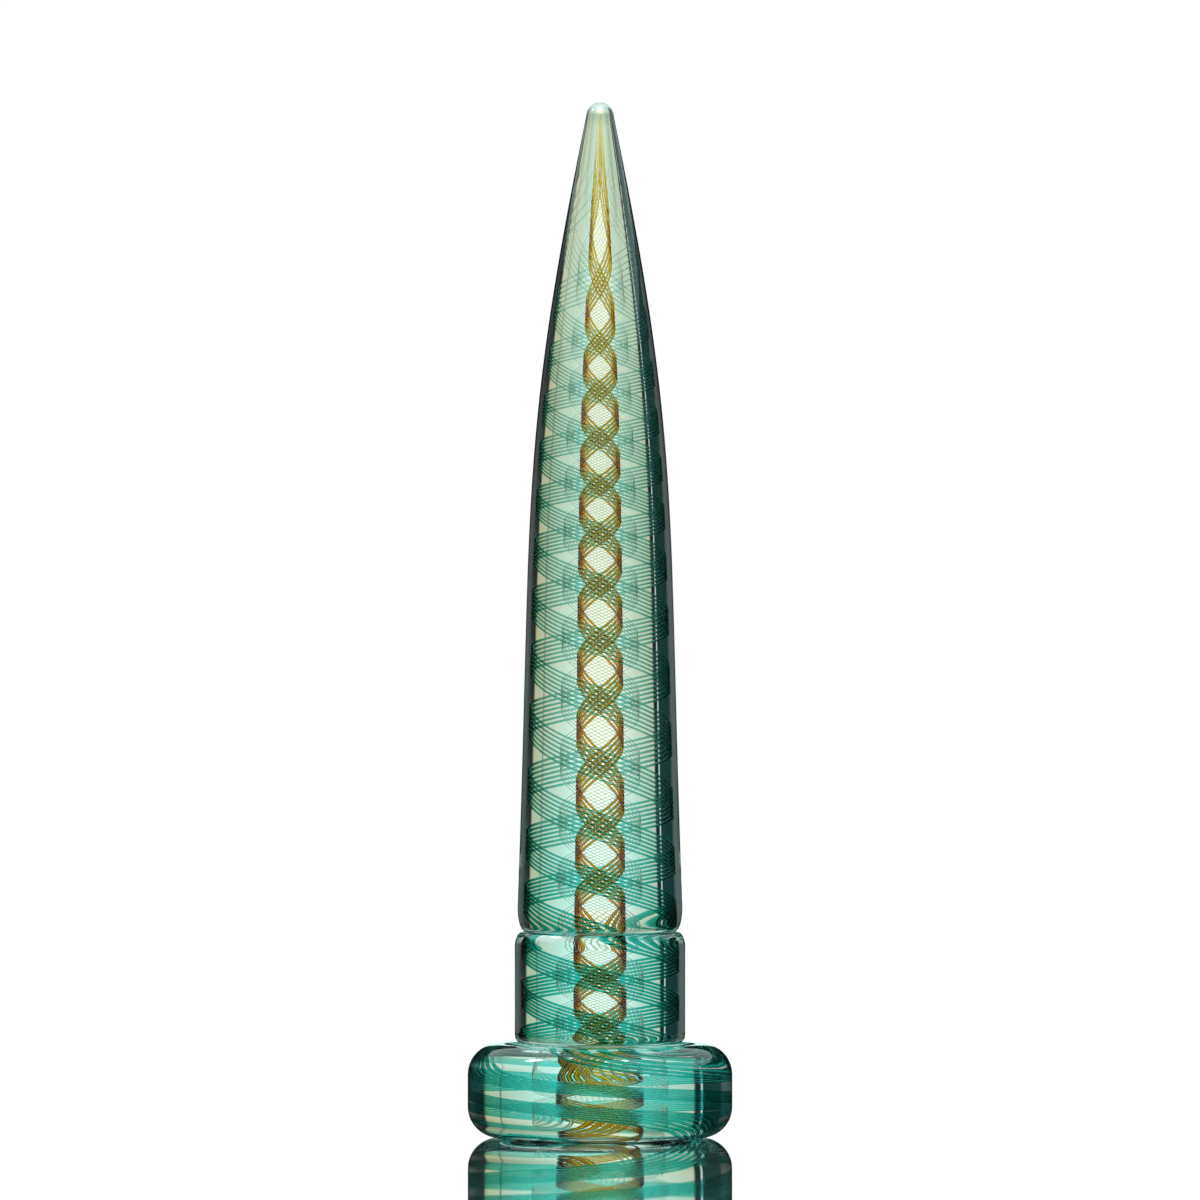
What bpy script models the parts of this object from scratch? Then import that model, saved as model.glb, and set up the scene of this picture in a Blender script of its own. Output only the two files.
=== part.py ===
"""A filigree glass pen point standing on its own foot, built up in layers as the glass is worked.

A clear core rod carries two bands of amber threads, the casing round it two bands of white
threads, the next casing two bands of teal threads, and a clear outer glass closes the whole: a
pointed spike, a collar and a rounded foot. All layers follow the outer shape, so each layer is
one set of radii at the collar that is scaled along the height. Metres, standing on z = 0.
"""

import math

import bpy
import numpy

MM = 0.001

# Foot: a thick disc with rounded rims, in which the layers spread a little less than the outer glass.
FOOT_RADIUS = 15.35 * MM
FOOT_HEIGHT = 10.9 * MM
FOOT_TOP_ROUND = 3.6 * MM
FOOT_BOTTOM_ROUND = 3.5 * MM
FOOT_FLOOR = 0.9 * MM
FOOT_LAYER_DRAW = 0.9 * MM

# Collar: a short barrel between the foot and the groove under the spike.
COLLAR_RADIUS = 9.9 * MM
COLLAR_HEIGHT = 13.0 * MM
COLLAR_TOP_EDGE_DEPTH = 1.0 * MM
COLLAR_TOP_EDGE_HEIGHT = 1.8 * MM
COLLAR_FOOT_EDGE_DEPTH = 0.5 * MM
COLLAR_FOOT_EDGE_HEIGHT = 1.1 * MM

# Spike: a slow taper to the shoulder, then a bullet curve to a small round tip.
SPIKE_HEIGHT = 96.1 * MM
SPIKE_BASE_RADIUS = 9.57 * MM
SPIKE_EDGE_DEPTH = 0.75 * MM
SPIKE_EDGE_HEIGHT = 2.7 * MM
SHOULDER_LOW_RADIUS = 7.86 * MM
SHOULDER_LOW_SHARE = 0.51
SHOULDER_HIGH_RADIUS = 9.51 * MM
SHOULDER_HIGH_SHARE = 0.58
TIP_RADIUS = 1.6 * MM

# Threads: middle radius at the collar, thickness, threads in a band, angle between neighbours.
AMBER_RADIUS = 1.98 * MM
AMBER_THICKNESS = 0.26 * MM
AMBER_COUNT = 5
AMBER_SPACING = math.radians(20)
WHITE_RADIUS = 3.42 * MM
WHITE_THICKNESS = 0.20 * MM
WHITE_COUNT = 2
WHITE_SPACING = math.radians(36)
TEAL_RADIUS = 6.14 * MM
TEAL_THICKNESS = 0.24 * MM
TEAL_COUNT = 4
TEAL_SPACING = math.radians(24)

# Twist: pitch of one turn, loose above the groove, fading to straight threads under the tip.
TIGHT_PITCH = 10.9 * MM
LOOSE_PITCH = 15.2 * MM
LOOSE_RISE = 19.7 * MM
TIGHT_RISE = 50.0 * MM
FADE_START_BELOW_TIP = 30.0 * MM
FADE_END_BELOW_TIP = 6.0 * MM
FRONT_RISE = 5.84 * MM
FRONT_ANGLE = math.radians(-90)

# Clearances between the layers, which in the real glass are fused.
SEAM_GAP = 0.1 * MM
THREAD_CLEARANCE = 0.1 * MM
LAYER_TOP_BELOW_TIP = 4.5 * MM
THREAD_END_GAP = 0.4 * MM

# Facets.
CORE_SIDES = 12
INNER_SIDES = 16
MIDDLE_SIDES = 20
CASING_SIDES = 36
ROUND_STEPS = 5
SPIKE_STEPS = 16
LAYER_STEPS = 8
AMBER_STEP = math.radians(45)
WHITE_STEP = math.radians(40)
TEAL_STEP = math.radians(36)

GROOVE_HEIGHT = FOOT_HEIGHT + COLLAR_HEIGHT
TIP_HEIGHT = GROOVE_HEIGHT + SPIKE_HEIGHT
LAYER_BOTTOM = FOOT_FLOOR + SEAM_GAP
LAYER_TOP = TIP_HEIGHT - LAYER_TOP_BELOW_TIP


def edge(radius, depth, face_height, side_height):
    """A quarter ellipse from an end face, drawn in by depth, out to the side wall, as (radius, height)."""
    points = []
    for step in range(ROUND_STEPS + 1):
        angle = 0.5 * math.pi * step / ROUND_STEPS
        out = radius - depth * (1 - math.sin(angle))
        points.append((out, side_height + (face_height - side_height) * math.cos(angle)))
    return points


def spike_side(steps):
    """The side of the spike from the rounded base edge to the tip ball, as (radius, height)."""
    low = GROOVE_HEIGHT + SPIKE_EDGE_HEIGHT
    length = TIP_HEIGHT - TIP_RADIUS - low
    radii = (SPIKE_BASE_RADIUS, SHOULDER_LOW_RADIUS, SHOULDER_HIGH_RADIUS, TIP_RADIUS)
    shares = (0.0, SHOULDER_LOW_SHARE, SHOULDER_HIGH_SHARE, 1.0)
    points = []
    for step in range(steps + 1):
        t = step / steps
        weights = ((1 - t) ** 3, 3 * t * (1 - t) ** 2, 3 * t * t * (1 - t), t ** 3)
        radius = sum(weight * value for weight, value in zip(weights, radii))
        share = sum(weight * value for weight, value in zip(weights, shares))
        points.append((radius, low + share * length))
    return points


def layer_stations():
    """Heights and outer radii that every inner layer follows, without the groove and the sharp edges."""
    foot_rise = FOOT_HEIGHT - FOOT_TOP_ROUND - FOOT_BOTTOM_ROUND
    spread = FOOT_RADIUS - FOOT_LAYER_DRAW
    stations = [(spread - 0.4 * FOOT_BOTTOM_ROUND, LAYER_BOTTOM)]
    stations.append((spread, FOOT_BOTTOM_ROUND))
    stations.append((spread, FOOT_BOTTOM_ROUND + foot_rise))
    stations.append((0.5 * (spread + COLLAR_RADIUS), FOOT_HEIGHT - 0.4 * FOOT_TOP_ROUND))
    stations.append((COLLAR_RADIUS, FOOT_HEIGHT + COLLAR_FOOT_EDGE_HEIGHT))
    stations.append((COLLAR_RADIUS, GROOVE_HEIGHT - COLLAR_TOP_EDGE_HEIGHT))
    for radius, height in spike_side(LAYER_STEPS):
        if height < LAYER_TOP - SEAM_GAP:
            stations.append((radius, height))
    end_radius = numpy.interp(LAYER_TOP, *zip(*[(z, r) for r, z in spike_side(SPIKE_STEPS)]))
    stations.append((float(end_radius), LAYER_TOP))
    return stations


STATIONS = layer_stations()
STATION_HEIGHTS = [height for radius, height in STATIONS]
STATION_SCALES = [radius / COLLAR_RADIUS for radius, height in STATIONS]


def layer_scale(height):
    """Size of the layers at this height, where 1 is their size in the collar."""
    return float(numpy.interp(height, STATION_HEIGHTS, STATION_SCALES))


def turn_rate(height):
    """Turns per metre of height: quick where the foot is squashed wide, none under the tip."""
    rises = (0.0, LOOSE_RISE, TIGHT_RISE)
    pitches = (TIGHT_PITCH, LOOSE_PITCH, TIGHT_PITCH)
    pitch = float(numpy.interp(height - GROOVE_HEIGHT, rises, pitches))
    squash = max(1.0, layer_scale(height)) ** 2
    below_tip = TIP_HEIGHT - height
    fade = numpy.interp(below_tip, (FADE_END_BELOW_TIP, FADE_START_BELOW_TIP), (0.0, 1.0))
    return float(fade) * squash / pitch


TWIST_HEIGHTS = numpy.linspace(LAYER_BOTTOM, LAYER_TOP, 1200)
TWIST_RATES = numpy.array([turn_rate(height) for height in TWIST_HEIGHTS])
TWIST_STEPS = 0.5 * (TWIST_RATES[1:] + TWIST_RATES[:-1]) * numpy.diff(TWIST_HEIGHTS)
TWIST_ANGLES = numpy.concatenate(([0.0], numpy.cumsum(TWIST_STEPS))) * 2 * math.pi


def twist(height):
    """Angle turned between the bottom of the layers and this height."""
    return float(numpy.interp(height, TWIST_HEIGHTS, TWIST_ANGLES))


def thread_heights(step):
    """The stations and the heights between them, so that no piece of a thread turns more than step."""
    ends = [LAYER_BOTTOM + THREAD_END_GAP] + STATION_HEIGHTS[1:-1] + [LAYER_TOP - THREAD_END_GAP]
    heights = [ends[0]]
    for low, high in zip(ends, ends[1:]):
        pieces = max(1, math.ceil((twist(high) - twist(low)) / step))
        angles = numpy.linspace(twist(low), twist(high), pieces + 1)
        for angle in angles[1:-1]:
            heights.append(float(numpy.interp(angle, TWIST_ANGLES, TWIST_HEIGHTS)))
        heights.append(high)
    return heights


def seat(radius, thickness, step):
    """Outer radius of the layer under a band of threads."""
    return radius * math.cos(step / 2) - thickness / 2 - THREAD_CLEARANCE


def cover(radius, thickness, sides):
    """Bore of the layer over a band of threads."""
    return (radius + thickness / 2 + THREAD_CLEARANCE) / math.cos(math.pi / sides)


CORE_OUTER = seat(AMBER_RADIUS, AMBER_THICKNESS, AMBER_STEP)
INNER_BORE = cover(AMBER_RADIUS, AMBER_THICKNESS, INNER_SIDES)
INNER_OUTER = seat(WHITE_RADIUS, WHITE_THICKNESS, WHITE_STEP)
MIDDLE_BORE = cover(WHITE_RADIUS, WHITE_THICKNESS, MIDDLE_SIDES)
MIDDLE_OUTER = seat(TEAL_RADIUS, TEAL_THICKNESS, TEAL_STEP)
CASING_BORE = cover(TEAL_RADIUS, TEAL_THICKNESS, CASING_SIDES)


def wall(collar_radius, low, high):
    """A layer wall from low to high at every station between them, as (radius, height)."""
    inside = [height for height in STATION_HEIGHTS if low + SEAM_GAP < height < high - SEAM_GAP]
    return [(collar_radius * layer_scale(height), height) for height in [low] + inside + [high]]


def new_collection(name):
    collection = bpy.data.collections.new(name)
    bpy.context.scene.collection.children.link(collection)
    return collection


def new_glass(name, colour, transmission):
    material = bpy.data.materials.new(name)
    material.use_nodes = True
    shader = material.node_tree.nodes["Principled BSDF"]
    shader.inputs["Base Color"].default_value = (*colour, 1.0)
    shader.inputs["Roughness"].default_value = 0.03
    shader.inputs["IOR"].default_value = 1.47
    shader.inputs["Transmission Weight"].default_value = transmission
    return material


def turned(name, outline, sides, closed, material):
    """A solid of revolution from an outline that runs down its outer side."""
    mesh = bpy.data.meshes.new(name)
    points = [(radius, 0.0, height) for radius, height in outline]
    edges = [(index, index + 1) for index in range(len(points) - 1)]
    if closed:
        edges.append((len(points) - 1, 0))
    mesh.from_pydata(points, edges, [])
    mesh.materials.append(material)
    solid = bpy.data.objects.new(name, mesh)
    PARTS.objects.link(solid)
    screw = solid.modifiers.new("turn", "SCREW")
    screw.steps = sides
    screw.render_steps = sides
    screw.use_merge_vertices = True
    screw.merge_threshold = 0.00001
    screw.use_smooth_shade = True
    return solid


def thread_section():
    """The three-sided section that every thread is drawn with, one metre across its corners."""
    curve = bpy.data.curves.new("thread_section", "CURVE")
    curve.dimensions = "2D"
    spline = curve.splines.new("POLY")
    spline.points.add(2)
    for index, point in enumerate(spline.points):
        angle = -2 * math.pi * index / 3
        point.co = (0.5 * math.cos(angle), 0.5 * math.sin(angle), 0.0, 1.0)
    spline.use_cyclic_u = True
    section = bpy.data.objects.new("thread_section", curve)
    section.hide_render = True
    section.display_type = "WIRE"
    HELPERS.objects.link(section)
    return section


def thread(name, radius, thickness, start_angle, heights, material):
    """One twisted thread, thinner where the glass is drawn out and where it is squashed wide."""
    curve = bpy.data.curves.new(name, "CURVE")
    curve.dimensions = "3D"
    curve.bevel_mode = "OBJECT"
    curve.bevel_object = SECTION
    curve.use_fill_caps = True
    spline = curve.splines.new("POLY")
    spline.points.add(len(heights) - 1)
    for point, height in zip(spline.points, heights):
        scale = layer_scale(height)
        angle = start_angle - twist(height)
        point.co = (radius * scale * math.cos(angle), radius * scale * math.sin(angle), height, 1.0)
        point.radius = thickness * min(scale, 1 / scale)
    spline.use_smooth = True
    curve.materials.append(material)
    solid = bpy.data.objects.new(name, curve)
    PARTS.objects.link(solid)
    return solid


def thread_bands(name, radius, thickness, count, spacing, quarter, step, material):
    """Two opposite bands of threads, a and b, turned by quarter from the amber bands."""
    heights = thread_heights(step)
    front = FRONT_ANGLE + twist(GROOVE_HEIGHT + FRONT_RISE) + quarter
    for half, band in enumerate("ab"):
        for index in range(count):
            offset = (index - 0.5 * (count - 1)) * spacing
            angle = front + half * math.pi + offset
            thread(f"{name}_thread_{band}{index + 1}", radius, thickness, angle, heights, material)


def foot_outline():
    top_edge = edge(FOOT_RADIUS, FOOT_TOP_ROUND, FOOT_HEIGHT, FOOT_HEIGHT - FOOT_TOP_ROUND)
    bottom_edge = edge(FOOT_RADIUS, FOOT_BOTTOM_ROUND, 0.0, FOOT_BOTTOM_ROUND)
    bore = wall(CASING_BORE, FOOT_FLOOR, FOOT_HEIGHT)
    return [(0.0, FOOT_FLOOR)] + bore + top_edge + bottom_edge[::-1] + [(0.0, 0.0)]


def collar_outline():
    low = FOOT_HEIGHT + SEAM_GAP
    high = GROOVE_HEIGHT - SEAM_GAP
    top_edge = edge(COLLAR_RADIUS, COLLAR_TOP_EDGE_DEPTH, high, high - COLLAR_TOP_EDGE_HEIGHT)
    foot_edge = edge(COLLAR_RADIUS, COLLAR_FOOT_EDGE_DEPTH, low, low + COLLAR_FOOT_EDGE_HEIGHT)
    return top_edge + foot_edge[::-1] + wall(CASING_BORE, low, high)


def spike_outline():
    base = edge(SPIKE_BASE_RADIUS, SPIKE_EDGE_DEPTH, GROOVE_HEIGHT, GROOVE_HEIGHT + SPIKE_EDGE_HEIGHT)
    ball = edge(TIP_RADIUS, TIP_RADIUS, TIP_HEIGHT, TIP_HEIGHT - TIP_RADIUS)
    side = spike_side(SPIKE_STEPS)[1:-1]
    bore_top = LAYER_TOP + SEAM_GAP
    bore = wall(CASING_BORE, GROOVE_HEIGHT, bore_top)
    return ball + side[::-1] + base[::-1] + bore + [(0.0, bore_top)]


def tube_outline(bore, outer):
    outside = wall(outer, LAYER_BOTTOM, LAYER_TOP)
    return outside[::-1] + wall(bore, LAYER_BOTTOM, LAYER_TOP)


def rod_outline(outer):
    return [(0.0, LAYER_TOP)] + wall(outer, LAYER_BOTTOM, LAYER_TOP)[::-1] + [(0.0, LAYER_BOTTOM)]


for old in list(bpy.data.objects):
    bpy.data.objects.remove(old)

PARTS = new_collection("filigree_glass_point")
HELPERS = new_collection("helpers")
HELPERS.hide_render = True
SECTION = thread_section()

CLEAR = new_glass("clear_glass", (0.93, 0.97, 0.92), 1.0)
AMBER = new_glass("amber_glass", (0.62, 0.30, 0.02), 0.8)
OPAL = new_glass("opal_glass", (0.86, 0.90, 0.84), 0.2)
TEAL = new_glass("teal_glass", (0.02, 0.36, 0.33), 0.8)

turned("core_rod", rod_outline(CORE_OUTER), CORE_SIDES, False, CLEAR)
turned("inner_casing", tube_outline(INNER_BORE, INNER_OUTER), INNER_SIDES, True, CLEAR)
turned("middle_casing", tube_outline(MIDDLE_BORE, MIDDLE_OUTER), MIDDLE_SIDES, True, CLEAR)
turned("spike_casing", spike_outline(), CASING_SIDES, False, CLEAR)
turned("collar_casing", collar_outline(), CASING_SIDES, True, CLEAR)
turned("foot_casing", foot_outline(), CASING_SIDES, False, CLEAR)

thread_bands("amber", AMBER_RADIUS, AMBER_THICKNESS, AMBER_COUNT, AMBER_SPACING, 0.0, AMBER_STEP, AMBER)
thread_bands("white", WHITE_RADIUS, WHITE_THICKNESS, WHITE_COUNT, WHITE_SPACING, math.pi / 2, WHITE_STEP, OPAL)
thread_bands("teal", TEAL_RADIUS, TEAL_THICKNESS, TEAL_COUNT, TEAL_SPACING, 0.0, TEAL_STEP, TEAL)
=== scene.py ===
"""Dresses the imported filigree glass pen: clear glass, its twisted threads, and the photograph's stage."""

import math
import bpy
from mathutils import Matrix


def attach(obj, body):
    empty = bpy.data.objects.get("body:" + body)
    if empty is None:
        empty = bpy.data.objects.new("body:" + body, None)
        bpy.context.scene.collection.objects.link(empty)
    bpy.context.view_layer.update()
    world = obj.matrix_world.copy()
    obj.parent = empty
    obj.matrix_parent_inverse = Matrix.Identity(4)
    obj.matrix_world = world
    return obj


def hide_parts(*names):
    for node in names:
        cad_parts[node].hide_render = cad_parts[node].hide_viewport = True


bl_info = {
    "name": "Filigree glass pen",
    "version": (1, 0, 0),
    "blender": (4, 5, 0),
    "location": "View3D > Sidebar > Glass pen",
    "description": "Builds a filigree glass pen on its foot, with its threads and its studio stage",
    "category": "Object",
}

from typing import NamedTuple

import bmesh
import bpy
import numpy
from bpy.props import FloatProperty, FloatVectorProperty, IntProperty, PointerProperty
from mathutils import Vector

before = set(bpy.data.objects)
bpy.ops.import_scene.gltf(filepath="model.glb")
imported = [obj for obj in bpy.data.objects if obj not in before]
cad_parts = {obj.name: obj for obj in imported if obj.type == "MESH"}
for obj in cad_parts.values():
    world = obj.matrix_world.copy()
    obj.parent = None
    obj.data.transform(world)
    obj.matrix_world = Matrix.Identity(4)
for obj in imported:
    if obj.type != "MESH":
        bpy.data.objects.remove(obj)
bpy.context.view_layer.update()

MM = 0.001
FRONT_ANGLE = math.radians(-90)

# The collar and the spike start this far above the piece under them, which leaves a fine crease.
COLLAR_LIFT = 0.15 * MM
SPIKE_LIFT = 0.1 * MM

# At the foot's rims the thread layers draw in by this share of the rim's round.
RIM_DRAW = 0.4

# How finely the outline, the envelope of the layers and the threads are cut.
SPIKE_STEPS = 72
ENVELOPE_SPIKE_STEPS = 40
ENVELOPE_STEP = 0.1 * MM
ENVELOPE_WINDOW = 25
THREAD_TURN = math.radians(9)
THREAD_RISE = 1.5 * MM

# A thread has this share of its thickness at its upper end, and gains a whole thickness in this length.
END_SHARE = 0.45
END_TAPER = 14 * MM

# Below the first height the threads have their low tone, and above the second only their own colour.
LOW_TONE_HEIGHT = 24 * MM
OWN_TONE_HEIGHT = 44 * MM

# Light passes many layers of glass before it leaves the pen.
GLASS_BOUNCES = 64
CLEAR_BOUNCES = 32


def length(name, description, millimetres):
    """A length setting, with its default in millimetres."""
    return FloatProperty(name=name, description=description, default=millimetres * MM, min=0.0, unit="LENGTH")


def turn(name, description, degrees):
    """An angle setting, with its default in degrees."""
    return FloatProperty(name=name, description=description, default=math.radians(degrees), subtype="ANGLE")


def number(name, description, value, least):
    """A whole number setting."""
    return IntProperty(name=name, description=description, default=value, min=least)


def tint(name, description, colour):
    """A colour setting."""
    return FloatVectorProperty(name=name, description=description, default=colour, subtype="COLOR", size=3)


class ShapeSettings(bpy.types.PropertyGroup):
    """Sizes of the outer glass, as in the CAD source."""

    foot_radius: length("Foot radius", "Radius of the disc foot", 15.35)
    foot_height: length("Foot height", "Height of the disc foot", 10.9)
    foot_top_round: length("Foot top round", "Round of the foot's upper rim", 3.6)
    foot_bottom_round: length("Foot bottom round", "Round of the foot's lower rim", 3.5)
    foot_layer_draw: length(
        "Foot layer draw", "How much less the threads spread in the foot than its rim", 0.9
    )
    collar_radius: length("Collar radius", "Radius of the collar", 9.9)
    collar_height: length("Collar height", "Height from the foot to the groove", 13.0)
    collar_top_depth: length("Collar top depth", "How far the collar's upper edge draws in", 1.0)
    collar_top_rise: length("Collar top rise", "Height of the collar's upper edge", 1.8)
    collar_foot_depth: length("Collar foot depth", "How far the collar's lower edge draws in", 0.5)
    collar_foot_rise: length("Collar foot rise", "Height of the collar's lower edge", 1.1)
    spike_height: length("Spike height", "Height from the groove to the tip", 96.1)
    spike_base_radius: length("Spike base radius", "Radius of the spike above its lower edge", 9.57)
    spike_edge_depth: length("Spike edge depth", "How far the spike's lower edge draws in", 0.75)
    spike_edge_rise: length("Spike edge rise", "Height of the spike's lower edge", 2.7)
    shoulder_low_radius: length("Low shoulder", "Lower control radius of the spike's side", 7.86)
    shoulder_high_radius: length("High shoulder", "Upper control radius of the spike's side", 9.51)
    tip_radius: length("Tip radius", "Radius of the tip's ball", 1.6)
    sides: number("Sides", "Facets round the glass", 128, 24)


class TwistSettings(bpy.types.PropertyGroup):
    """How the threads turn along the height."""

    tight_pitch: length("Tight pitch", "Height of one turn in the collar and under the shoulder", 10.9)
    loose_pitch: length("Loose pitch", "Height of one turn where the twist is slackest", 15.2)
    loose_rise: length("Loose rise", "Height above the groove of the slackest twist", 19.7)
    tight_rise: length("Tight rise", "Height above the groove where the twist is tight again", 50.0)
    fade_start: length("Fade start", "Distance below the tip where the twist starts to fade", 30.0)
    fade_end: length("Fade end", "Distance below the tip where the threads run straight", 6.0)
    front_rise: length("Front rise", "Height above the groove where the first amber band faces front", 5.84)
    thread_top: length("Thread top", "Distance of the threads' upper ends below the tip", 1.4)
    thread_bottom: length("Thread bottom", "Height of the threads' lower ends", 1.4)


class GlassSettings(bpy.types.PropertyGroup):
    """Colours of the four glasses."""

    clear: tint("Clear", "Tint that the clear glass takes with depth", (0.35, 0.92, 0.82))
    amber: tint("Amber", "Tint that the amber glass takes with depth", (0.957, 0.845, 0.0))
    opal: tint("Opal", "Colour of the white threads", (0.80, 0.86, 0.78))
    teal: tint("Teal", "Tint that the teal glass takes with depth", (0.0, 0.61, 0.55))


def edge(radius, depth, face_height, side_height, steps=10):
    """A quarter ellipse from an end face, drawn in by depth, out to the side wall, as (radius, height)."""
    points = []
    for step in range(steps + 1):
        angle = 0.5 * math.pi * step / steps
        out = radius - depth * (1 - math.sin(angle))
        points.append((out, side_height + (face_height - side_height) * math.cos(angle)))
    return points


class Outline:
    """The turned outline of the outer glass and the envelope that the inner layers follow."""

    def __init__(self, shape):
        self.shape = shape
        self.groove = shape.foot_height + shape.collar_height
        self.tip = self.groove + shape.spike_height

    def spike_side(self, steps):
        """The spike's side from its lower edge to the tip's ball: a cubic curve with four control points."""
        shape = self.shape
        low = self.groove + shape.spike_edge_rise
        rise = self.tip - shape.tip_radius - low
        radii = (
            shape.spike_base_radius, shape.shoulder_low_radius, shape.shoulder_high_radius, shape.tip_radius
        )
        shares = (0.0, 0.51, 0.58, 1.0)
        points = []
        for step in range(steps + 1):
            t = step / steps
            weights = ((1 - t) ** 3, 3 * t * (1 - t) ** 2, 3 * t * t * (1 - t), t ** 3)
            radius = sum(weight * value for weight, value in zip(weights, radii))
            share = sum(weight * value for weight, value in zip(weights, shares))
            points.append((radius, low + share * rise))
        return points

    def points(self):
        """The outline from the middle of the underside up to the tip, as (radius, height)."""
        shape = self.shape
        foot_low = edge(shape.foot_radius, shape.foot_bottom_round, 0.0, shape.foot_bottom_round)
        foot_high = edge(
            shape.foot_radius,
            shape.foot_top_round,
            shape.foot_height,
            shape.foot_height - shape.foot_top_round,
        )
        collar_low = edge(
            shape.collar_radius,
            shape.collar_foot_depth,
            shape.foot_height + COLLAR_LIFT,
            shape.foot_height + shape.collar_foot_rise,
        )
        collar_high = edge(
            shape.collar_radius, shape.collar_top_depth, self.groove, self.groove - shape.collar_top_rise
        )
        spike_low = edge(
            shape.spike_base_radius,
            shape.spike_edge_depth,
            self.groove + SPIKE_LIFT,
            self.groove + shape.spike_edge_rise,
        )
        ball = edge(shape.tip_radius, shape.tip_radius, self.tip, self.tip - shape.tip_radius)
        foot = [(0.0, 0.0)] + foot_low + foot_high[::-1]
        collar = collar_low + collar_high[::-1]
        spike = spike_low + self.spike_side(SPIKE_STEPS)[1:-1] + ball[::-1]
        return foot + collar + spike

    def envelope(self):
        """Heights and smoothed radii, without the groove and the sharp edges."""
        shape = self.shape
        spread = shape.foot_radius - shape.foot_layer_draw
        corners = [
            (spread - RIM_DRAW * shape.foot_bottom_round, 0.0),
            (spread, shape.foot_bottom_round),
            (spread, shape.foot_height - shape.foot_top_round),
            (0.5 * (spread + shape.collar_radius), shape.foot_height - RIM_DRAW * shape.foot_top_round),
            (shape.collar_radius, shape.foot_height + shape.collar_foot_rise),
            (shape.collar_radius, self.groove - shape.collar_top_rise),
        ]
        corners += self.spike_side(ENVELOPE_SPIKE_STEPS)
        heights = numpy.arange(0.0, self.tip, ENVELOPE_STEP)
        radii = numpy.interp(heights, [z for r, z in corners], [r for r, z in corners])
        window = numpy.hanning(ENVELOPE_WINDOW)
        padded = numpy.pad(radii, ENVELOPE_WINDOW // 2, mode="edge")
        return heights, numpy.convolve(padded, window / window.sum(), mode="valid")


class Twist:
    """Size and turning of the thread layers at any height."""

    def __init__(self, shape, settings):
        outline = Outline(shape)
        self.heights, radii = outline.envelope()
        self.scales = radii / shape.collar_radius
        rise = self.heights - outline.groove
        rises = (0.0, settings.loose_rise, settings.tight_rise)
        pitches = (settings.tight_pitch, settings.loose_pitch, settings.tight_pitch)
        pitch = numpy.interp(rise, rises, pitches)
        fade = numpy.interp(outline.tip - self.heights, (settings.fade_end, settings.fade_start), (0.0, 1.0))
        # Where the glass is squashed wider than the collar, a turn takes less height.
        rate = 2 * math.pi * fade * numpy.maximum(1.0, self.scales) ** 2 / pitch
        steps = 0.5 * (rate[1:] + rate[:-1]) * numpy.diff(self.heights)
        self.angles = numpy.concatenate(([0.0], numpy.cumsum(steps)))
        self.front = FRONT_ANGLE + self.angle(outline.groove + settings.front_rise)
        self.low = settings.thread_bottom
        self.high = outline.tip - settings.thread_top

    def angle(self, height):
        """How far the threads have turned from the underside up to a height."""
        return float(numpy.interp(height, self.heights, self.angles))

    def scale(self, height):
        """Width of the glass at a height, with the collar's width as 1."""
        return float(numpy.interp(height, self.heights, self.scales))

    def stations(self):
        """Heights along a thread, close enough together for its turning and its rise."""
        heights = [self.low]
        while heights[-1] < self.high:
            here = heights[-1]
            by_angle = float(numpy.interp(self.angle(here) + THREAD_TURN, self.angles, self.heights))
            heights.append(min(by_angle, here + THREAD_RISE, self.high))
        return heights


def new_material(name):
    """A new material, with its nodes and their links."""
    material = bpy.data.materials.new(name)
    material.use_nodes = True
    return material, material.node_tree.nodes, material.node_tree.links


def add_node(nodes, kind, **values):
    """A new node with these values on its inputs."""
    node = nodes.new(kind)
    for name, value in values.items():
        node.inputs[name].default_value = value
    return node


def add_mix(nodes, blend_type="MIX"):
    """A node that mixes two colours."""
    mix = nodes.new("ShaderNodeMix")
    mix.data_type = "RGBA"
    mix.blend_type = blend_type
    return mix


def add_ramp(nodes, low_place, low_colour, high_place, high_colour):
    """A ramp from one colour to another."""
    ramp = nodes.new("ShaderNodeValToRGB")
    low, high = ramp.color_ramp.elements
    low.position = low_place
    low.color = (*low_colour, 1.0)
    high.position = high_place
    high.color = (*high_colour, 1.0)
    return ramp


def set_glass(shader, roughness, index, transmission):
    """Set how polished a glass is, how much it bends light and how much light it lets through."""
    shader.inputs["Roughness"].default_value = roughness
    shader.inputs["IOR"].default_value = index
    shader.inputs["Transmission Weight"].default_value = transmission


def add_depth(nodes, links, colour, density):
    """Colour that deepens along the path of the light through the glass."""
    depth = add_node(nodes, "ShaderNodeVolumeAbsorption", Color=(*colour, 1.0), Density=density)
    links.new(depth.outputs["Volume"], nodes["Material Output"].inputs["Volume"])


def add_waves(nodes, links, place, shader, scale, strength, distance):
    """The faint waviness of hand-worked glass."""
    waves = add_node(nodes, "ShaderNodeTexNoise", Scale=scale, Detail=1.0)
    bump = add_node(nodes, "ShaderNodeBump", Strength=strength, Distance=distance)
    links.new(place.outputs["Object"], waves.inputs["Vector"])
    links.new(waves.outputs["Fac"], bump.inputs["Height"])
    links.new(bump.outputs["Normal"], shader.inputs["Normal"])


def clear_glass(name, colour):
    """Polished clear glass."""
    material, nodes, links = new_material(name)
    shader = nodes["Principled BSDF"]
    shader.inputs["Base Color"].default_value = (0.97, 0.99, 0.97, 1.0)
    set_glass(shader, roughness=0.0, index=1.47, transmission=1.0)
    add_depth(nodes, links, colour, density=8.0)
    place = nodes.new("ShaderNodeTexCoord")
    add_waves(nodes, links, place, shader, scale=130.0, strength=0.06, distance=0.4 * MM)
    return material


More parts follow.
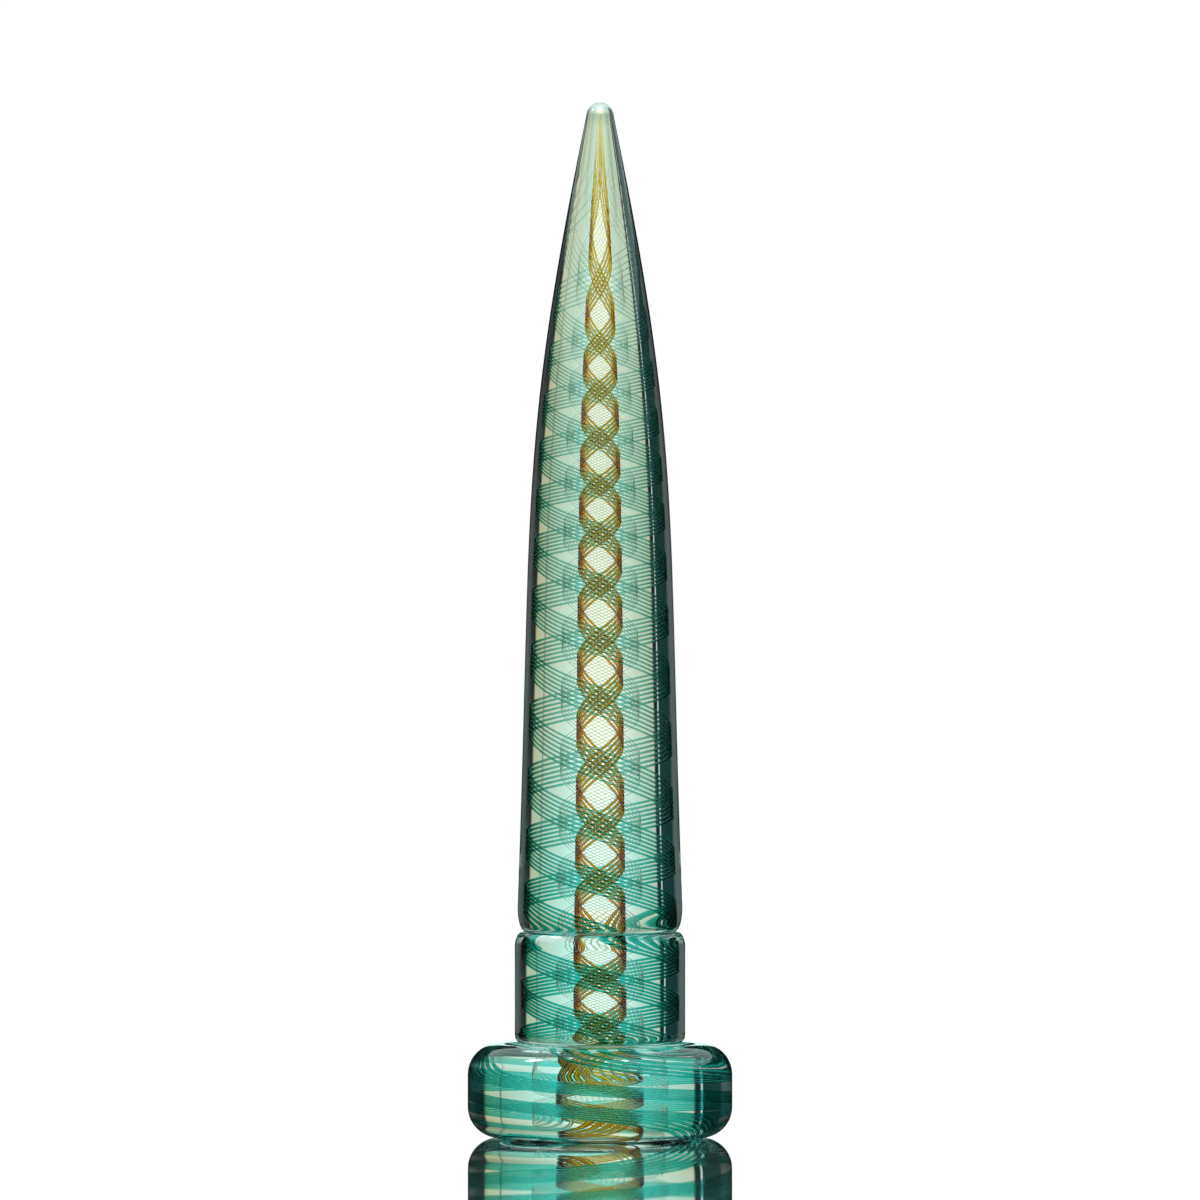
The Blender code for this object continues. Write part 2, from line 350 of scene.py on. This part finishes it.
def thread_glass(name, index, colour, density, rim, low):
    """Coloured glass inside the clear glass. Its index is the step from the glass round it. A thread is pale
    across and takes its rim colour where it is seen aslant, a painted shade in place of the dark edges that
    its bending of light gives, and low tones it in the foot and the collar."""
    material, nodes, links = new_material(name)
    shader = nodes["Principled BSDF"]
    set_glass(shader, roughness=0.0, index=index, transmission=1.0)
    add_depth(nodes, links, colour, density)
    place = nodes.new("ShaderNodeTexCoord")
    add_waves(nodes, links, place, shader, scale=900.0, strength=0.15, distance=0.05 * MM)
    # Painted shade: the thread's colour goes from pale to its rim colour the more aslant it is seen.
    facing = add_node(nodes, "ShaderNodeLayerWeight", Blend=0.5)
    ramp = add_ramp(nodes, 0.2, (1.0, 1.0, 1.0), 0.6, rim)
    links.new(facing.outputs["Facing"], ramp.inputs["Fac"])
    height = nodes.new("ShaderNodeSeparateXYZ")
    share = nodes.new("ShaderNodeMapRange")
    share.inputs["From Min"].default_value = LOW_TONE_HEIGHT
    share.inputs["From Max"].default_value = OWN_TONE_HEIGHT
    tone = add_mix(nodes)
    tone.inputs["A"].default_value = (*low, 1.0)
    tone.inputs["B"].default_value = (1.0, 1.0, 1.0, 1.0)
    both = add_mix(nodes, "MULTIPLY")
    both.inputs["Factor"].default_value = 1.0
    links.new(place.outputs["Object"], height.inputs["Vector"])
    links.new(height.outputs["Z"], share.inputs["Value"])
    links.new(share.outputs["Result"], tone.inputs["Factor"])
    links.new(ramp.outputs["Color"], both.inputs["A"])
    links.new(tone.outputs["Result"], both.inputs["B"])
    links.new(both.outputs["Result"], shader.inputs["Base Color"])
    return material


def opal_glass(name, colour):
    """Milky glass that scatters and passes light, in clouds of its colour and a darker shade of it."""
    material, nodes, links = new_material(name)
    shader = nodes["Principled BSDF"]
    set_glass(shader, roughness=0.3, index=1.04, transmission=0.85)
    shade = [0.8 * value for value in colour]
    place = nodes.new("ShaderNodeTexCoord")
    clouds = add_node(nodes, "ShaderNodeTexNoise", Scale=600.0, Detail=2.0)
    ramp = add_ramp(nodes, 0.3, shade, 0.65, colour)
    links.new(place.outputs["Object"], clouds.inputs["Vector"])
    links.new(clouds.outputs["Fac"], ramp.inputs["Fac"])
    links.new(ramp.outputs["Color"], shader.inputs["Base Color"])
    return material


def finish_piece(piece, nodes):
    """Fix a piece to the body and the CAD nodes that it replaces."""
    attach(piece, "root")
    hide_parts(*nodes)


def new_object(name, mesh, material):
    """A new object in the scene, of one mesh and one material."""
    mesh.materials.append(material)
    piece = bpy.data.objects.new(name, mesh)
    bpy.context.scene.collection.objects.link(piece)
    return piece


class Flow(NamedTuple):
    """How a band follows the glass round it: powers of the glass's width, with the collar's width as 1."""

    foot_spread: float
    foot_thickness: float
    spike_spread: float
    spike_thickness: float


AMBER_FLOW = Flow(foot_spread=1.45, foot_thickness=-0.8, spike_spread=1.14, spike_thickness=0.85)
WHITE_FLOW = Flow(foot_spread=1.2, foot_thickness=-1.0, spike_spread=1.0, spike_thickness=1.2)
TEAL_FLOW = Flow(foot_spread=1.7, foot_thickness=-1.3, spike_spread=1.0, spike_thickness=1.3)


def thread_band(name, twist, radius, thickness, flow, angles, material):
    """A band of twisted threads as one mesh, thinner where the glass is drawn out or squashed wide."""
    curve = bpy.data.curves.new(name, "CURVE")
    curve.dimensions = "3D"
    # With half a unit of bevel, the radius of a point is the thickness of the thread there.
    curve.bevel_depth = 0.5
    curve.bevel_resolution = 3
    curve.use_fill_caps = True
    heights = twist.stations()
    for start in angles:
        spline = curve.splines.new("POLY")
        spline.points.add(len(heights) - 1)
        for point, height in zip(spline.points, heights):
            scale = twist.scale(height)
            angle = start - twist.angle(height)
            taper = min(1.0, END_SHARE + (twist.high - height) / END_TAPER)
            spread = flow.spike_spread if scale < 1 else flow.foot_spread
            thinning = flow.spike_thickness if scale < 1 else flow.foot_thickness
            out = radius * scale ** spread
            point.co = (out * math.cos(angle), out * math.sin(angle), height, 1.0)
            point.radius = thickness * taper * scale ** thinning
        spline.use_smooth = True
    drawn = bpy.data.objects.new(name + "_path", curve)
    bpy.context.scene.collection.objects.link(drawn)
    mesh = bpy.data.meshes.new_from_object(drawn.evaluated_get(bpy.context.evaluated_depsgraph_get()))
    bpy.data.objects.remove(drawn)
    bpy.data.curves.remove(curve)
    mesh.name = name
    return new_object(name, mesh, material)


def make_bands(context, winding, name, material, flow, offset, cad_count):
    """Two opposite bands, a and b, turned by offset from the amber bands. The winding is the operator that
    holds their sizes. The CAD model has cad_count threads in each band, which the piece replaces."""
    twist = Twist(context.scene.pen_shape, context.scene.pen_twist)
    for half, band in enumerate("ab"):
        middle = twist.front + offset + half * math.pi
        first = middle - 0.5 * (winding.count - 1) * winding.spacing
        angles = [first + index * winding.spacing for index in range(winding.count)]
        piece = thread_band(
            f"{name}_band_{band}", twist, winding.radius, winding.thickness, flow, angles, material
        )
        nodes = [f"{name}_thread_{band}{index + 1}" for index in range(cad_count)]
        finish_piece(piece, nodes)


class PEN_OT_clear_glass(bpy.types.Operator):
    """Turn the clear glass: foot, collar and spike in one piece"""

    bl_idname = "pen.clear_glass"
    bl_label = "Clear glass"

    def execute(self, context):
        shape = context.scene.pen_shape
        form = bmesh.new()
        corners = [form.verts.new((radius, 0.0, height)) for radius, height in Outline(shape).points()]
        edges = [form.edges.new(pair) for pair in zip(corners, corners[1:])]
        bmesh.ops.spin(
            form,
            geom=corners + edges,
            cent=(0.0, 0.0, 0.0),
            axis=(0.0, 0.0, 1.0),
            angle=2 * math.pi,
            steps=shape.sides,
            use_merge=True,
        )
        bmesh.ops.remove_doubles(form, verts=form.verts[:], dist=1e-7)
        bmesh.ops.recalc_face_normals(form, faces=form.faces[:])
        mesh = bpy.data.meshes.new("glass_body")
        form.to_mesh(mesh)
        form.free()
        mesh.shade_smooth()
        body = new_object("glass_body", mesh, clear_glass("clear_glass", context.scene.pen_glass.clear))
        clear_nodes = (
            "core_rod", "inner_casing", "middle_casing", "spike_casing", "collar_casing", "foot_casing"
        )
        finish_piece(body, clear_nodes)
        return {"FINISHED"}


class PEN_OT_amber_threads(bpy.types.Operator):
    """Wind the two amber bands in the core"""

    bl_idname = "pen.amber_threads"
    bl_label = "Amber threads"

    radius: length("Radius", "Distance of the threads from the axis in the collar", 1.98)
    thickness: length("Thickness", "Thickness of a thread in the collar", 0.26)
    count: number("Count", "Threads in each band", 5, 1)
    spacing: turn("Spacing", "Angle from one thread to the next", 17.5)

    def execute(self, context):
        material = thread_glass(
            "amber_glass",
            index=1.2,
            colour=context.scene.pen_glass.amber,
            density=32000.0,
            # Painted shade: the dark brown that an amber thread takes at its edges.
            rim=(0.02, 0.006, 0.0),
            low=(1.0, 0.92, 0.6),
        )
        make_bands(context, self, "amber", material, AMBER_FLOW, offset=0.0, cad_count=5)
        return {"FINISHED"}


class PEN_OT_white_threads(bpy.types.Operator):
    """Wind the two fine white bands, a quarter turn from the amber"""

    bl_idname = "pen.white_threads"
    bl_label = "White threads"

    radius: length("Radius", "Distance of the threads from the axis in the collar", 3.42)
    thickness: length("Thickness", "Thickness of a thread in the collar", 0.09)
    count: number("Count", "Threads in each band", 8, 1)
    spacing: turn("Spacing", "Angle from one thread to the next", 10.5)

    def execute(self, context):
        material = opal_glass("opal_glass", context.scene.pen_glass.opal)
        quarter = math.pi / 2
        make_bands(context, self, "white", material, WHITE_FLOW, offset=quarter, cad_count=2)
        return {"FINISHED"}


class PEN_OT_teal_threads(bpy.types.Operator):
    """Wind the two teal bands outside the others"""

    bl_idname = "pen.teal_threads"
    bl_label = "Teal threads"

    radius: length("Radius", "Distance of the threads from the axis in the collar", 6.14)
    thickness: length("Thickness", "Thickness of a thread in the collar", 0.29)
    count: number("Count", "Threads in each band", 7, 1)
    spacing: turn("Spacing", "Angle from one thread to the next", 13.4)

    def execute(self, context):
        material = thread_glass(
            "teal_glass",
            index=1.03,
            colour=context.scene.pen_glass.teal,
            density=5600.0,
            # Painted shade: the faint tint that a teal thread takes at its edges.
            rim=(0.9, 1.0, 1.0),
            low=(0.22, 0.95, 0.95),
        )
        make_bands(context, self, "teal", material, TEAL_FLOW, offset=0.0, cad_count=4)
        return {"FINISHED"}


# The backdrop's painted light and shade from left to right, by the angle in degrees from straight behind, as
# the glass passes them on: a bright field behind, dark strips that give the glass its dark edges, and beige
# strips, a pale cyan line and a dark line that the glass shows as tints of its own. The glass turns them
# round: what is left here shows on the right of the pen.
BACKDROP_REACH = 110
BACKDROP_STOPS = (
    (-BACKDROP_REACH, (0.14, 0.145, 0.14)),
    (-55, (0.11, 0.12, 0.115)),
    (-51, (0.012, 0.04, 0.036)),
    (-36, (0.012, 0.04, 0.036)),
    (-35, (0.80, 0.92, 0.88)),
    (-34.2, (0.01, 0.02, 0.02)),
    (-31.2, (0.01, 0.02, 0.02)),
    (-30.2, (0.60, 0.62, 0.48)),
    (-18, (0.66, 0.76, 0.62)),
    (-10, (0.86, 1.00, 0.88)),
    (-5.5, (1.30, 1.24, 1.06)),
    (5.5, (1.30, 1.24, 1.06)),
    (10, (0.86, 1.02, 0.90)),
    (18, (0.70, 0.84, 0.70)),
    (32.5, (0.62, 0.62, 0.46)),
    (33.5, (0.22, 0.22, 0.15)),
    (34.5, (0.62, 0.62, 0.46)),
    (44, (0.62, 0.58, 0.36)),
    (47, (0.02, 0.025, 0.022)),
    (56, (0.04, 0.045, 0.042)),
    (70, (0.12, 0.125, 0.12)),
    (BACKDROP_REACH, (0.14, 0.145, 0.14)),
)

# How that painted light changes with the height, in millimetres, dimmer towards the tip, and the open light
# far below and above the pen.
BACKDROP_LEVELS = (
    (13, (0.82, 1.04, 1.10)),
    (30, (1.0, 1.0, 1.0)),
    (48, (0.88, 0.92, 0.88)),
    (62, (0.74, 0.80, 0.74)),
    (78, (0.57, 0.65, 0.59)),
    (110, (0.44, 0.52, 0.47)),
)
OPEN_LIGHT = (0.75, 0.92, 0.86)
OPEN_LEVELS = ((-120, 1.0), (-30, 0.0), (115, 0.0), (165, 1.0))

# What the glass mirrors: a bright field behind the pen and above it, and a painted glint on the left, a
# bright patch of the card that is no lamp but shows in the glass as a lamp's glint. Reaches and angles are in
# degrees, and heights in millimetres.
BRIGHT_SHINE = (0.95, 1.25, 1.15)
DARK_SHINE = (0.01, 0.012, 0.012)
BRIGHT_REACH = 7
BRIGHT_LOW = -5
BRIGHT_HIGH = 60
BRIGHT_ABOVE = 150
PAINTED_GLINT_SHINE = 40.0
PAINTED_GLINT_ANGLE = -85
PAINTED_GLINT_REACH = 10
PAINTED_GLINT_LEVELS = ((330, 0.0), (410, 1.0), (470, 1.0), (550, 0.0))

# Heights of the backdrop's rows of points in millimetres: rows stand at each change of light, or close to
# either side of it where it is sudden.
BACKDROP_ROWS = (
    -400, -120, -30, -7, -3, 13, 30, 48, 58, 62, 78, 110, 115, 148, 152, 165, 330, 410, 470, 550, 700
)
BACKDROP_COLUMNS = 440

# The lamps stand on the left behind the backdrop, one above the floor and one below it, and point at the pen.
LAMP_PLACES = {"key": (-0.41, 0.01, 0.44), "low": (-0.41, 0.01, -0.44)}
LAMP_AIM = (0.0, 0.0, 0.06)


def between(place, stops):
    """The value at a place between stops, each a place and a value."""
    return float(numpy.interp(place, [stop[0] for stop in stops], [stop[1] for stop in stops]))


def blend(place, stops):
    """The colour at a place between stops, each a place and a colour."""
    return [between(place, [(stop[0], stop[1][channel]) for stop in stops]) for channel in range(3)]


def backdrop_glow(angle, height):
    """The light that the glass passes on from a point of the backdrop."""
    opening = between(height, OPEN_LEVELS)
    card = [across * up for across, up in zip(blend(angle, BACKDROP_STOPS), blend(height, BACKDROP_LEVELS))]
    return [tone + opening * (light - tone) for tone, light in zip(card, OPEN_LIGHT)]


def backdrop_shine(angle, height):
    """The light that the glass mirrors from a point of the backdrop."""
    behind = abs(angle) < BRIGHT_REACH and BRIGHT_LOW < height < BRIGHT_HIGH
    shine = BRIGHT_SHINE if behind or height > BRIGHT_ABOVE else DARK_SHINE
    # Painted glint: a bright patch of the card, no lamp, that the glass mirrors as small highlights.
    lamp = PAINTED_GLINT_SHINE * max(0.0, 1.0 - abs(angle - PAINTED_GLINT_ANGLE) / PAINTED_GLINT_REACH) * between(height, PAINTED_GLINT_LEVELS)
    return [tone + lamp for tone in shine]


class PEN_OT_stage(bpy.types.Operator):
    """Set the camera, the polished pale floor, the white surroundings, the curved backdrop and the lamps"""

    bl_idname = "pen.stage"
    bl_label = "Stage"

    distance: length("Distance", "Camera distance from the pen", 1700.0)
    view_height: length("View height", "Height of the picture at the pen", 139.16)
    aim_height: length("Aim height", "Height of the picture's middle", 62.33)
    elevation: turn("Elevation", "Camera angle above the floor", 1.2)
    floor_reach: length("Floor reach", "Half the width of the floor", 1500.0)
    floor_gap: length("Floor gap", "How far the floor lies under the foot", 0.05)
    backdrop_radius: length("Backdrop radius", "Distance of the backdrop from the pen's axis", 300.0)
    lamp_size: length("Lamp size", "Width of each lamp", 240.0)
    lamp_power: FloatProperty(name="Lamp power", description="Power of each lamp", default=16.0, unit="POWER")

    def execute(self, context):
        camera = self.make_camera(context)
        self.make_floor()
        self.make_world(context)
        self.make_backdrop(camera)
        self.make_lamps(context)
        return {"FINISHED"}

    def make_camera(self, context):
        data = bpy.data.cameras.new("camera")
        data.sensor_width = 36.0
        data.lens = data.sensor_width * self.distance / self.view_height
        data.clip_end = 10.0
        camera = bpy.data.objects.new("camera", data)
        context.scene.collection.objects.link(camera)
        aim = Vector((0.0, 0.0, self.aim_height))
        away = Vector((0.0, -math.cos(self.elevation), math.sin(self.elevation)))
        camera.location = aim + self.distance * away
        camera.rotation_euler = (math.radians(90) - self.elevation, 0.0, 0.0)
        context.scene.camera = camera
        context.view_layer.update()
        return camera

    def make_floor(self):
        """A white floor with a polish that mirrors the pen. Sharp reflections and refractions in the glass
        pass through it, so that the glass shows the backdrop."""
        material, nodes, links = new_material("floor")
        shader = nodes["Principled BSDF"]
        shader.inputs["Base Color"].default_value = (1.0, 1.0, 1.0, 1.0)
        shader.inputs["Roughness"].default_value = 1.0
        mirror = add_node(nodes, "ShaderNodeBsdfGlossy", Color=(1.0, 1.0, 1.0, 1.0), Roughness=0.02)
        polish = add_node(nodes, "ShaderNodeMixShader", Fac=0.998)
        links.new(shader.outputs["BSDF"], polish.inputs[1])
        links.new(mirror.outputs["BSDF"], polish.inputs[2])
        path = nodes.new("ShaderNodeLightPath")
        clear = nodes.new("ShaderNodeBsdfTransparent")
        seen = nodes.new("ShaderNodeMixShader")
        links.new(path.outputs["Is Singular Ray"], seen.inputs["Fac"])
        links.new(polish.outputs["Shader"], seen.inputs[1])
        links.new(clear.outputs["BSDF"], seen.inputs[2])
        links.new(seen.outputs["Shader"], nodes["Material Output"].inputs["Surface"])
        form = bmesh.new()
        bmesh.ops.create_grid(form, x_segments=1, y_segments=1, size=self.floor_reach)
        mesh = bpy.data.meshes.new("floor")
        form.to_mesh(mesh)
        form.free()
        floor = new_object("floor", mesh, material)
        floor.location.z = -self.floor_gap

    def make_world(self, context):
        """White surroundings, which the glass sees as a dim room."""
        world = bpy.data.worlds.new("world")
        context.scene.world = world
        world.use_nodes = True
        nodes = world.node_tree.nodes
        links = world.node_tree.links
        path = nodes.new("ShaderNodeLightPath")
        tone = add_mix(nodes)
        tone.inputs["A"].default_value = (1.0, 1.0, 1.0, 1.0)
        tone.inputs["B"].default_value = (0.18, 0.21, 0.21, 1.0)
        links.new(path.outputs["Is Singular Ray"], tone.inputs["Factor"])
        links.new(tone.outputs["Result"], nodes["Background"].inputs["Color"])

    def backdrop_material(self):
        """Light that only sharp reflections and refractions see, with one colour for each of the two."""
        material, nodes, links = new_material("backdrop")
        nodes.remove(nodes["Principled BSDF"])
        lights = {}
        for layer in ("glow", "shine"):
            paint = nodes.new("ShaderNodeVertexColor")
            paint.layer_name = layer
            lights[layer] = add_node(nodes, "ShaderNodeEmission", Strength=1.0)
            links.new(paint.outputs["Color"], lights[layer].inputs["Color"])
        clear = nodes.new("ShaderNodeBsdfTransparent")
        path = nodes.new("ShaderNodeLightPath")
        face = nodes.new("ShaderNodeMixShader")
        seen = nodes.new("ShaderNodeMixShader")
        links.new(path.outputs["Is Transmission Ray"], face.inputs["Fac"])
        links.new(lights["shine"].outputs["Emission"], face.inputs[1])
        links.new(lights["glow"].outputs["Emission"], face.inputs[2])
        links.new(path.outputs["Is Singular Ray"], seen.inputs["Fac"])
        links.new(clear.outputs["BSDF"], seen.inputs[1])
        links.new(face.outputs["Shader"], seen.inputs[2])
        links.new(seen.outputs["Shader"], nodes["Material Output"].inputs["Surface"])
        return material

    def make_backdrop(self, camera):
        """A curved card round the pen, open towards the camera and closed above and below. It is bright
        behind the pen and dark at its sides, which draws the dark edges of clear glass, and it turns with
        the camera."""
        form = bmesh.new()
        reach = math.radians(BACKDROP_REACH)
        side = (-self.backdrop_radius * math.sin(reach), self.backdrop_radius * math.cos(reach))
        corners = [form.verts.new((0.0, 0.0, BACKDROP_ROWS[0] * MM))]
        corners += [form.verts.new((*side, height * MM)) for height in BACKDROP_ROWS]
        corners.append(form.verts.new((0.0, 0.0, BACKDROP_ROWS[-1] * MM)))
        rims = [form.edges.new(pair) for pair in zip(corners, corners[1:])]
        bmesh.ops.spin(
            form,
            geom=corners + rims,
            cent=(0.0, 0.0, 0.0),
            axis=(0.0, 0.0, 1.0),
            angle=-2 * reach,
            steps=BACKDROP_COLUMNS,
        )
        mesh = bpy.data.meshes.new("backdrop")
        form.to_mesh(mesh)
        form.free()
        for layer, light in (("glow", backdrop_glow), ("shine", backdrop_shine)):
            paint = mesh.color_attributes.new(layer, "FLOAT_COLOR", "POINT")
            for vertex, point in zip(mesh.vertices, paint.data):
                angle = math.degrees(math.atan2(vertex.co.x, vertex.co.y))
                point.color = (*light(angle, vertex.co.z / MM), 1.0)
        backdrop = new_object("backdrop", mesh, self.backdrop_material())
        backdrop.visible_camera = False
        backdrop.visible_diffuse = False
        backdrop.visible_shadow = False
        follow = backdrop.constraints.new("LOCKED_TRACK")
        follow.target = camera
        follow.track_axis = "TRACK_NEGATIVE_Y"
        follow.lock_axis = "LOCK_Z"

    def make_lamps(self, context):
        for name, place in LAMP_PLACES.items():
            data = bpy.data.lights.new(name, "AREA")
            data.size = self.lamp_size
            data.energy = self.lamp_power
            lamp = bpy.data.objects.new(name, data)
            lamp.location = place
            lamp.rotation_euler = (Vector(LAMP_AIM) - Vector(place)).to_track_quat("-Z", "Y").to_euler()
            context.scene.collection.objects.link(lamp)


class PEN_PT_panel(bpy.types.Panel):
    """Buttons for each group of the pen"""

    bl_label = "Glass pen"
    bl_space_type = "VIEW_3D"
    bl_region_type = "UI"
    bl_category = "Glass pen"

    def draw(self, context):
        for operator in OPERATORS:
            self.layout.operator(operator.bl_idname)
        for settings in (context.scene.pen_shape, context.scene.pen_twist, context.scene.pen_glass):
            box = self.layout.box()
            for name in settings.__annotations__:
                box.prop(settings, name)


SETTINGS = {"pen_shape": ShapeSettings, "pen_twist": TwistSettings, "pen_glass": GlassSettings}
OPERATORS = (
    PEN_OT_clear_glass,
    PEN_OT_amber_threads,
    PEN_OT_white_threads,
    PEN_OT_teal_threads,
    PEN_OT_stage,
)


def register():
    for group in (*SETTINGS.values(), *OPERATORS, PEN_PT_panel):
        bpy.utils.register_class(group)
    for name, group in SETTINGS.items():
        setattr(bpy.types.Scene, name, PointerProperty(type=group))


def unregister():
    for name in SETTINGS:
        delattr(bpy.types.Scene, name)
    for group in reversed((*SETTINGS.values(), *OPERATORS, PEN_PT_panel)):
        bpy.utils.unregister_class(group)


def main():
    register()
    scene = bpy.context.scene
    scene.view_settings.view_transform = "Standard"
    scene.cycles.max_bounces = GLASS_BOUNCES
    scene.cycles.transmission_bounces = GLASS_BOUNCES
    scene.cycles.transparent_max_bounces = CLEAR_BOUNCES
    scene.cycles.blur_glossy = 0.0
    bpy.ops.pen.clear_glass()
    bpy.ops.pen.amber_threads()
    bpy.ops.pen.white_threads()
    bpy.ops.pen.teal_threads()
    bpy.ops.pen.stage()


if __name__ == "__main__":
    main()
